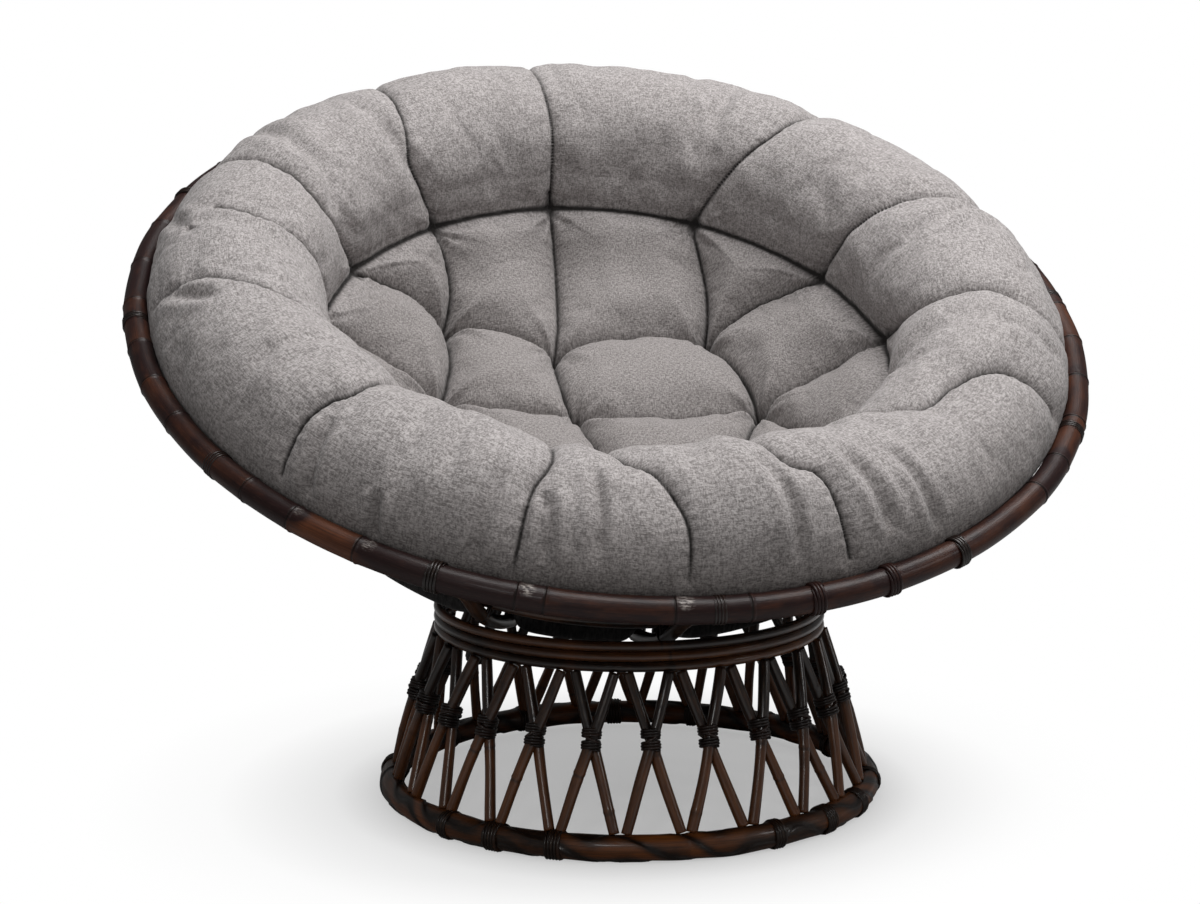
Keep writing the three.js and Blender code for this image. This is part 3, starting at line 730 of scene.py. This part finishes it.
# Every seam as close points on the even form, each with its depth and its place along the seam
def seamPoints():
    t = tufts
    places, depths, lengths = [], [], []

    def nearTuft(run, ends):
        gap = np.min([np.linalg.norm(run - end, axis=1) for end in ends], axis=0)
        return np.exp(-((gap / t["spread"]) ** 1.3))

    for first, second, bow in padSeams:
        ends = [tuftPlace(first), tuftPlace(second)]
        share = np.linspace(0, 1, 60)[:, None]
        away = ends[1] - ends[0]
        line = ends[0] + away * share + np.array([-away[1], away[0], 0]) * bow * 4 * share * (1 - share)
        run = routed(onPad(line[:, 0], line[:, 1]))
        places.append(run)
        lengths.append(np.arange(len(run)) * 0.002)
        depths.append(t["seamDepth"] + (tuftDepth(run) - t["seamDepth"]) * nearTuft(run, ends))
    edge = t["edge"]
    for k, first in enumerate(edge):
        second = edge[(k + 1) % len(edge)] + (360 if k + 1 == len(edge) else 0)
        run = routed(onRoll(np.linspace(first, second, 60), 0.0))
        places.append(run)
        lengths.append(np.arange(len(run)) * 0.002)
        ends = [tuftPlace(first), tuftPlace(second % 360)]
        depths.append(t["edgeSeamDepth"] + (tuftDepth(run) - t["edgeSeamDepth"]) * nearTuft(run, ends))
    for inner, top, *stops in rollSeams:
        run, across = throughStops(stops)
        depth = inner + (top - inner) * np.clip((across - 0.1) / 0.4, 0, 1)
        fade = np.clip((1 - across) / 0.3, 0, 1) ** 0.7
        places.append(run)
        lengths.append(np.arange(len(run)) * 0.002)
        depths.append((depth + (tuftDepth(run) - depth) * nearTuft(run, [tuftPlace(stops[0][0])])) * fade)
    return np.vstack(places), np.concatenate(depths), np.concatenate(lengths)


def foldPoints():
    places, sizes = [], []
    for depth, width, *stops in rollFolds:
        run, _ = throughStops(stops)
        end = np.minimum(np.arange(len(run)), np.arange(len(run))[::-1]) / (0.25 * len(run))
        places.append(run)
        sizes.append(np.stack([depth * np.clip(end, 0, 1), np.full(len(run), width)], -1))
    return np.vstack(places), np.vstack(sizes)


def nearest(places, points):
    tree = kdtree.KDTree(len(places))
    for k, place in enumerate(places):
        tree.insert(place, k)
    tree.balance()
    found = [tree.find(point) for point in points]
    return np.array([f[1] for f in found]), np.array([f[2] for f in found])


def vertexArray(mesh):
    flat = np.empty(len(mesh.vertices) * 3, np.float32)
    mesh.vertices.foreach_get("co", flat)
    return flat.reshape(-1, 3).astype(float)


def setVertices(mesh, points):
    mesh.vertices.foreach_set("co", np.asarray(points, np.float32).reshape(-1))
    mesh.update()


def applyModifiers(made):
    graph = bpy.context.evaluated_depsgraph_get()
    mesh = bpy.data.meshes.new_from_object(made.evaluated_get(graph))
    made.modifiers.clear()
    old, made.data = made.data, mesh
    bpy.data.meshes.remove(old)


cushionMake = {
    "voxel": 0.0085, "finer": 2, "quickFiner": 1, "padCrown": 0.011, "rollCrown": 0.002, "padReach": 0.062,
    "rollReach": 0.055, "pressure": 4.0, "growth": -0.018, "frames": 20, "mostMove": 0.007,
    "crease": 0.0034, "creaseWidth": 0.0030, "gather": 0.0008, "gatherLength": 0.014,
    "pit": 0.010, "pitWidth": 0.012, "pucker": 0.0048, "puckerReach": 0.026, "rough": 0.0008, "corner": 0.012,
}


# The roll bulges in over the pad's edge, higher than the pad ever reaches
def overPad(points):
    return points[:, 2] > cushionForm["padEdgeHeight"] + 0.001


# The way along the cloth from the inner corner where the roll meets the pad, up the roll positive, and the distance
def cornerPlaces(points):
    radius = np.hypot(points[:, 0], points[:, 1])
    fromCorner = np.stack([radius - padEdge, points[:, 2] - cushionForm["padEdgeHeight"]], -1)
    return fromCorner @ np.array([0.366, 0.931]), np.linalg.norm(fromCorner, axis=1)


# Outward directions of the even form, and how far a place lies on its upper side: 1 on the pad and the roll, 0 below
def evenSurface(points):
    c = cushionForm
    radius = np.hypot(points[:, 0], points[:, 1])
    outwards = points[:, :2] / np.maximum(radius, 1e-6)[:, None]
    fromCore = np.stack([radius - rollRadius, points[:, 2] - c["rollHeight"]], -1)
    turn = np.arctan2(fromCore[:, 1], fromCore[:, 0])
    # below its inner side the roll runs nearly straight down, so it faces the axis there
    onFoot = (turn < -math.pi / 2) & (points[:, 2] > c["padEdgeHeight"] - 0.012)
    fromCore[onFoot, 1] *= c["footSlant"]
    rise = c["padRise"]
    slope = rise * (c["padEdgeHeight"] - c["padCentreHeight"]) * radius ** (rise - 1) / padEdge**rise
    lean = np.clip(1.2 - radius / padEdge, 0, 0.4) * 2.5
    padWay = unit(np.stack([-slope * lean, np.ones_like(slope)], -1))
    share = np.where(overPad(points), 1.0, np.clip((radius - padEdge) / 0.012, 0, 1))
    alongCloth, toCorner = cornerPlaces(points)
    share = np.where(toCorner < 2 * c["cornerTurn"], np.clip(0.5 + alongCloth / c["cornerTurn"], 0, 1), share)[:, None]
    way = padWay * (1 - share) + unit(fromCore) * share
    normals = np.concatenate([outwards * way[:, :1], way[:, 1:]], -1)
    onRollTop = np.clip((turn + 0.12) / 0.45, 0, 1) + np.clip((-2.4 - turn) / 0.1, 0, 1)
    onPadTop = (points[:, 2] > dishHeight(radius) - 0.03).astype(float)
    upper = np.where((radius < padEdge) & ~overPad(points), onPadTop, np.clip(onRollTop, 0, 1))
    return normals, upper, radius


# Soft uneven filling: a sum of waves in chance directions
def unevenness(points, longest, shortest, count=36):
    ways = unit(chance.normal(size=(count, 3)))
    lengths = longest * (shortest / longest) ** chance.random(count)
    total = np.zeros(len(points))
    for way, length, phase in zip(ways, lengths, chance.uniform(0, 2 * math.pi, count)):
        total += np.sin(points @ way * (2 * math.pi / length) + phase)
    return total / math.sqrt(count / 2)


# How far the cushion's cloth stands out from the even form, how near it is to a seam, and how much painted shade
# darkens it along its seams and in its tuft pits
def cushionRelief(points):
    m = cushionMake
    places, depths, lengths = seamPoints()
    index, gap = nearest(places, points)
    normals, upper, radius = evenSurface(points)
    # the remesh rounds the inner corner off, so there the way from its seam is taken along the cloth
    alongCloth, toCorner = cornerPlaces(points)
    gap = np.where(toCorner < m["corner"], np.minimum(gap, np.abs(alongCloth)), gap)
    onPadNow = np.where(overPad(points), 0.0, np.clip((padEdge + 0.01 - radius) / 0.02, 0, 1))
    reach = m["rollReach"] + (m["padReach"] - m["rollReach"]) * onPadNow
    crown = m["rollCrown"] + (m["padCrown"] - m["rollCrown"]) * onPadNow
    depth = depths[index]
    x = np.clip(gap / reach, 0, 1)
    soft = -depth + (depth + crown) * (1 - (1 - x) ** 2.3) ** 0.62
    fine = -m["crease"] * np.exp(-((gap / m["creaseWidth"]) ** 1.4)) * np.clip(depth / 0.006, 0, 1)
    sway = np.sin(2 * math.pi * lengths[index] / m["gatherLength"] + 2.2 * np.sin(lengths[index] * 61))
    fine += m["gather"] * sway * np.exp(-gap / 0.012) * (1 - np.exp(-((gap / 0.003) ** 2)))
    toTuft = np.full(len(points), 1.0)
    tuftPlaces = [tuftPlace(t) for t in tufts["edge"]] + [tuftPlace(t) for t in tufts["inner"]]
    for k, place in enumerate(tuftPlaces):
        away = points - place
        far = np.linalg.norm(away, axis=1)
        near = far < 0.12
        swing = np.arctan2(away[near, 1], away[near, 0])
        pleats = np.cos(swing * (9 + k % 3) + k * 1.7 + 0.8 * np.sin(swing * 3 + k))
        fine[near] += m["pucker"] * pleats * np.exp(-far[near] / m["puckerReach"]) * np.clip(far[near] / 0.014, 0, 1)
        fine[near] -= m["pit"] * np.exp(-((far[near] / m["pitWidth"]) ** 2))
        toTuft[near] = np.minimum(toTuft[near], far[near])
    foldPlaces, sizes = foldPoints()
    foldIndex, foldGap = nearest(foldPlaces, points)
    size = sizes[foldIndex]
    fold = size[:, 0] * (np.exp(-((foldGap / size[:, 1]) ** 2)) - 0.35 * np.exp(-(((foldGap - 2 * size[:, 1]) / size[:, 1]) ** 2)))
    fine -= fold
    fine += m["rough"] * unevenness(points, 0.11, 0.03)
    # painted shade: the cloth is darkened in thin lines along its deep seams and in its tuft pits, where shadow falls
    # in the creases
    seamShare = np.exp(-((gap / 0.0024) ** 2)) * np.clip(depth / 0.005, 0.35, 1) * upper
    seamShare = np.maximum(seamShare, np.exp(-((toTuft / 0.009) ** 2)) * upper)
    return normals, upper, soft * upper, fine * upper, gap, seamShare


# Leans the roll's foot in over the pad along the back
def leanedIn(points, upper):
    c = cushionForm
    radius = np.hypot(points[:, 0], points[:, 1])
    back = np.clip(points[:, 1] / np.maximum(radius, 1e-6), 0, 1)
    low = np.clip((c["rollHeight"] - points[:, 2]) / (c["rollHeight"] - c["padEdgeHeight"]), 0, 1)
    shift = c["footLean"] * back * low * bump(radius - padEdge, c["leanWidth"]) * upper
    return points * np.stack([1 - shift / np.maximum(radius, 1e-6)] * 2 + [np.ones_like(shift)], -1)


# Keeps the cloth off the rim's pole
def clearOfRim(points):
    radius = np.hypot(points[:, 0], points[:, 1])
    away = np.stack([radius - rim["radius"], points[:, 2]], -1)
    far = np.linalg.norm(away, axis=1)
    room = rim["pole"] + 0.0005
    push = np.where(far < room, room / np.maximum(far, 1e-6), 1.0)[:, None]
    placed = away * push
    newRadius = rim["radius"] + placed[:, 0]
    scaleBy = (newRadius / np.maximum(radius, 1e-6))[:, None]
    return np.concatenate([points[:, :2] * scaleBy, placed[:, 1:]], -1)


# The points of the mesh after it is subdivided from the given places
def subdivided(made, points, levels):
    setVertices(made.data, points)
    finer = made.modifiers.new("finer", "SUBSURF")
    finer.levels = finer.render_levels = levels
    graph = bpy.context.evaluated_depsgraph_get()
    result = vertexArray(made.evaluated_get(graph).to_mesh())
    made.modifiers.remove(finer)
    return result


# Blows the cloth up between its seams and gives back how far each point moved
def blownUp(made, still):
    m = cushionMake
    start = vertexArray(made.data)
    group = made.vertex_groups.new(name="still")
    for share in np.unique(np.round(still, 1)):
        chosen = np.nonzero(np.round(still, 1) == share)[0].tolist()
        group.add(chosen, float(share), "REPLACE")
    cloth = made.modifiers.new("cloth", "CLOTH")
    settings = cloth.settings
    settings.quality = 4
    settings.mass = 0.3
    settings.tension_stiffness = settings.compression_stiffness = 12
    settings.shear_stiffness = 6
    settings.bending_stiffness = 0.35
    settings.vertex_group_mass = "still"
    settings.pin_stiffness = 1
    settings.shrink_min = m["growth"]
    settings.use_pressure = True
    settings.uniform_pressure_force = m["pressure"]
    settings.effector_weights.gravity = 0
    cloth.collision_settings.use_collision = False
    cloth.point_cache.frame_start = 1
    cloth.point_cache.frame_end = m["frames"]
    for number in range(1, m["frames"] + 1):
        bpy.context.scene.frame_set(number)
    graph = bpy.context.evaluated_depsgraph_get()
    result = made.evaluated_get(graph).to_mesh()
    move = vertexArray(result) - start
    made.modifiers.remove(cloth)
    bpy.context.scene.frame_set(1)
    far = np.linalg.norm(move, axis=1, keepdims=True)
    return move * np.minimum(1, m["mostMove"] / np.maximum(far, 1e-9))


# How much painted shade darkens the cloth's colour: in the dish, and low at the front beside the rim
def paintedShadeAt(points):
    radius = np.hypot(points[:, 0], points[:, 1])
    forward = np.clip(-points[:, 1] / np.maximum(radius, 1e-6), 0, 1)
    turn = np.arctan2(points[:, 2] - cushionForm["rollHeight"], radius - rollRadius)
    low = np.clip((1.05 - turn) / 1.0, 0, 1) * (turn > -0.6)
    dish = np.clip((padEdge + 0.01 - radius) / 0.05, 0, 1) * (points[:, 2] < -0.03)
    return np.clip(0.30 * dish + low * (0.16 + 0.64 * forward), 0, 1)


# 1 on the dark lining below the roll and under the pad, painted shade for the dark under the rim and the bowl, and how
# near a place is to the lining's upper edge, where a dark line of painted shade runs just under the rim
def shadeLiningAt(points, upper):
    radius = np.hypot(points[:, 0], points[:, 1])
    over = points[:, 2] - cushionForm["shadeLiningHeight"]
    outside = radius > rollRadius
    below = np.where(outside, np.clip(0.5 - over / 0.012, 0, 1), upper < 0.02)
    return below, bump(over, 0.003) * outside


# Where a place lies on the cloth: on the pad as cut flat, on the roll along it and across it
def threadPlaces(points):
    radius = np.hypot(points[:, 0], points[:, 1])
    around = np.radians((np.degrees(np.arctan2(points[:, 0], -points[:, 1])) - 181.8) % 360) * rollRadius
    across = np.arctan2(points[:, 2] - cushionForm["rollHeight"], rollRadius - radius) * cushionForm["rollWidth"]
    onRollNow = np.stack([around, across, np.full(len(points), 0.5)], -1)
    return np.where(((radius < padEdge) & ~overPad(points))[:, None], points * (1, 1, 0), onRollNow)


def makeCushion():
    m = cushionMake
    degrees = np.arange(0, 360, 1.0)
    rings = cushionRings(degrees)
    rows, steps = rings.shape[:2]
    i, j = np.meshgrid(np.arange(rows - 1), np.arange(steps), indexing="ij")
    right = (j + 1) % steps
    quads = np.stack([i * steps + j, i * steps + right, (i + 1) * steps + right, (i + 1) * steps + j], -1)
    faces = quads.reshape(-1, 4).tolist()
    faces += [list(range(steps - 1, -1, -1)), list(range((rows - 1) * steps, rows * steps))]
    mesh = bpy.data.meshes.new("seatCushion")
    mesh.from_pydata(rings.reshape(-1, 3).tolist(), [], faces)
    made = bpy.data.objects.new("seatCushion", mesh)
    bpy.context.scene.collection.objects.link(made)
    remesh = made.modifiers.new("even", "REMESH")
    remesh.mode = "VOXEL"
    remesh.voxel_size = m["voxel"]
    applyModifiers(made)
    even = vertexArray(made.data)
    print("cushion remeshed:", len(even), "points")

    move = np.zeros_like(even)
    normals, upper, soft, _, gap, _ = cushionRelief(even)
    setVertices(made.data, even + normals * soft[:, None])
    still = np.clip(np.exp(-((gap / 0.006) ** 2)) + (1 - upper), 0, 1)
    move = blownUp(made, still)
    print("cushion blown up: moved up to", round(float(np.abs(move).max()) * 1000, 1), "mm")
    levels = m["finer"]
    fineMove = subdivided(made, even + move, levels)
    fineEven = subdivided(made, even, levels)
    fineMove = 0 if fineMove is None else fineMove - fineEven
    setVertices(made.data, even)
    finer = made.modifiers.new("finer", "SUBSURF")
    finer.levels = finer.render_levels = levels
    applyModifiers(made)
    mesh = made.data
    normals, upper, soft, fine, gap, seamShare = cushionRelief(fineEven)
    points = fineEven + normals * (soft + fine)[:, None] + fineMove
    setVertices(mesh, moved(clearOfRim(leanedIn(points, upper)) - (0, 0, rim["drop"]), bowlPlace))
    # painted shade: the lining mask marks the near-black underside, and a dark line is painted along its upper edge
    # under the rim
    below, hemShade = shadeLiningAt(fineEven, upper)
    for name, values in (("seam", np.maximum(seamShare, hemShade)), ("paintedShade", paintedShadeAt(fineEven)), ("shadeLining", below)):
        mesh.attributes.new(name, "FLOAT", "POINT").data.foreach_set("value", values.astype(np.float32))
    threads = threadPlaces(fineEven).astype(np.float32)
    mesh.attributes.new("threads", "FLOAT_VECTOR", "POINT").data.foreach_set("vector", threads.reshape(-1))
    mesh.shade_smooth()
    mesh.materials.append(cushionCloth)
    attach(made, "cushion")
    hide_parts("cushion")
    return made


# Heathered woven cloth: light and dark threads both ways, with a few darker slubs along the weft
def clothMaterial():
    look = {
        "dark": (0.165, 0.151, 0.147), "light": (0.405, 0.378, 0.372), "fleck": (0.58, 0.555, 0.54),
        "slub": (0.12, 0.105, 0.098), "wearAndGlints": (0.22, 0.197, 0.188), "seam": (0.018, 0.016, 0.015),
        "paintedShade": (0.34, 0.32, 0.30), "shadeLiningDark": (0.012, 0.011, 0.011), "shadeLiningLight": (0.034, 0.032, 0.031),
    }
    material, nodes, links, shader = newMaterial("grey weave")

    def attribute(name):
        node = nodes.new("ShaderNodeAttribute")
        node.attribute_name = name
        return node

    place = attribute("threads").outputs["Vector"]
    weft = noiseOf(nodes, links, place, 1.0, 2, 0.6, (250, 720, 1))
    warp = noiseOf(nodes, links, place, 1.0, 2, 0.6, (720, 280, 1))
    flecks = noiseOf(nodes, links, place, 1.0, 2, 0.5, (420, 800, 1))
    slubs = noiseOf(nodes, links, place, 1.0, 2, 0.55, (30, 600, 1))
    slubRows = noiseOf(nodes, links, place, 1.0, 2, 0.5, (9, 60, 1))
    slow = noiseOf(nodes, links, place, 1.0, 3, 0.6, (7, 9, 1))
    threads = arithmetic(nodes, links, "ADD", weft, warp)
    colour = mixed(nodes, links, ranged(nodes, links, threads, 0.80, 1.20), look["dark"], look["light"])
    colour = mixed(nodes, links, ranged(nodes, links, flecks, 0.61, 0.72, 0, 0.45), colour, look["fleck"])
    slub = arithmetic(nodes, links, "MULTIPLY", ranged(nodes, links, slubs, 0.58, 0.70),
                      ranged(nodes, links, slubRows, 0.50, 0.66, 0, 0.6))
    colour = mixed(nodes, links, slub, colour, look["slub"])
    # in the cloth this colour is slow patches of wear only
    colour = mixed(nodes, links, ranged(nodes, links, slow, 0.4, 0.7, 0, 0.12), colour, look["wearAndGlints"])
    # painted shade: the cloth's colour is multiplied darker in the dish and low at the front beside the rim
    colour = mixed(nodes, links, attribute("paintedShade").outputs["Fac"], colour, look["paintedShade"], "MULTIPLY")
    # painted shade: below the roll and under the pad the cloth is coloured near black, a dark lining in place of the
    # shade under the rim and bowl
    below = ranged(nodes, links, attribute("shadeLining").outputs["Fac"], 0.45, 0.55)
    weave = ranged(nodes, links, threads, 0.80, 1.20)
    shadeLining = mixed(nodes, links, weave, look["shadeLiningDark"], look["shadeLiningLight"])
    colour = mixed(nodes, links, below, colour, shadeLining)
    # painted shade: near-black lines in the seams, in the tuft pits and along the lining's upper edge under the rim
    seam = ranged(nodes, links, attribute("seam").outputs["Fac"], 0.15, 0.8, 0, 0.95)
    colour = mixed(nodes, links, seam, colour, look["seam"])
    links.new(colour, shader.inputs["Base Color"])
    shader.inputs["Roughness"].default_value = 0.92
    shader.inputs["Specular IOR Level"].default_value = 0.15
    shader.inputs["Sheen Weight"].default_value = 0.1
    shader.inputs["Sheen Roughness"].default_value = 0.5
    relief = nodes.new("ShaderNodeBump")
    relief.inputs["Strength"].default_value = 0.6
    relief.inputs["Distance"].default_value = 0.001
    links.new(threads, relief.inputs["Height"])
    links.new(relief.outputs["Normal"], shader.inputs["Normal"])
    return material


cushionCloth = clothMaterial()
makeCushion()
print("cushion made")


# Stage

stage = {
    "floorColour": (0.34, 0.34, 0.34), "seenColour": (0.86, 0.86, 0.855), "skyStrength": 0.34, "skyInGloss": 0.12,
    # how white the floor shows, by distance from the middle of the base
    "white": ((0.0, 0.34), (0.25, 0.40), (0.33, 0.74), (0.46, 0.95), (0.60, 1.0)),
    # place, aim, size and power of each lamp
    "lamps": {
        "above": ((0.70, -0.25, 3.1), (0, 0, 0.3), 2.2, 118),
        "front": ((-1.1, -2.8, 1.8), (0, 0, 0.3), 0.5, 9),
        "side": ((2.6, -1.8, 1.7), (0, 0, 0.3), 0.6, 8),
    },
}


def makeStage():
    mesh = bpy.data.meshes.new("floor")
    half = 9
    mesh.from_pydata([(-half, -half, 0), (half, -half, 0), (half, half, 0), (-half, half, 0)], [], [(0, 1, 2, 3)])
    floor = bpy.data.objects.new("floor", mesh)
    floor.location = (0, tiltCentre.y, -0.0002)
    bpy.context.scene.collection.objects.link(floor)
    material, nodes, links, shader = newMaterial("floor white")
    path = nodes.new("ShaderNodeLightPath")
    seen = path.outputs["Is Camera Ray"]
    links.new(mixed(nodes, links, seen, stage["floorColour"], stage["seenColour"]), shader.inputs["Base Color"])
    shader.inputs["Roughness"].default_value = 0.9
    shader.inputs["Specular IOR Level"].default_value = 0.05
    glow = nodes.new("ShaderNodeEmission")
    glow.inputs["Strength"].default_value = 1
    coordinate = nodes.new("ShaderNodeTexCoord")
    distance = nodes.new("ShaderNodeVectorMath")
    distance.operation = "LENGTH"
    links.new(coordinate.outputs["Object"], distance.inputs[0])
    reach = stage["white"][-1][0]
    ramp = nodes.new("ShaderNodeValToRGB")
    for k, (away, white) in enumerate(stage["white"]):
        stops = ramp.color_ramp.elements
        stop = stops[k] if k < 2 else stops.new(away / reach)
        stop.position = away / reach
        stop.color = (white, white, white, 1)
    links.new(ranged(nodes, links, distance.outputs["Value"], 0, reach), ramp.inputs[0])
    share = arithmetic(nodes, links, "MULTIPLY", ramp.outputs[0], seen)
    mix = nodes.new("ShaderNodeMixShader")
    links.new(share, mix.inputs[0])
    links.new(shader.outputs[0], mix.inputs[1])
    links.new(glow.outputs[0], mix.inputs[2])
    links.new(mix.outputs[0], nodes["Material Output"].inputs["Surface"])
    mesh.materials.append(material)

    for name, (place, aim, size, power) in stage["lamps"].items():
        data = bpy.data.lights.new(name, "AREA")
        data.size = size
        data.energy = power
        light = bpy.data.objects.new(name, data)
        bpy.context.scene.collection.objects.link(light)
        away = Vector(aim) - Vector(place)
        light.matrix_world = Matrix.Translation(place) @ away.to_track_quat("-Z", "Y").to_matrix().to_4x4()

    world = bpy.data.worlds.new("studio")
    bpy.context.scene.world = world
    world.use_nodes = True
    nodes, links = world.node_tree.nodes, world.node_tree.links
    light = nodes["Background"]
    light.inputs["Color"].default_value = (1, 1, 1, 1)
    path = nodes.new("ShaderNodeLightPath")
    gloss = ranged(nodes, links, path.outputs["Is Glossy Ray"], 0, 1, stage["skyStrength"], stage["skyInGloss"])
    strength = arithmetic(nodes, links, "MAXIMUM", gloss, path.outputs["Is Camera Ray"])
    links.new(strength, light.inputs["Strength"])


makeStage()
scene = bpy.context.scene
scene.view_settings.view_transform = "Standard"
print("stage made")

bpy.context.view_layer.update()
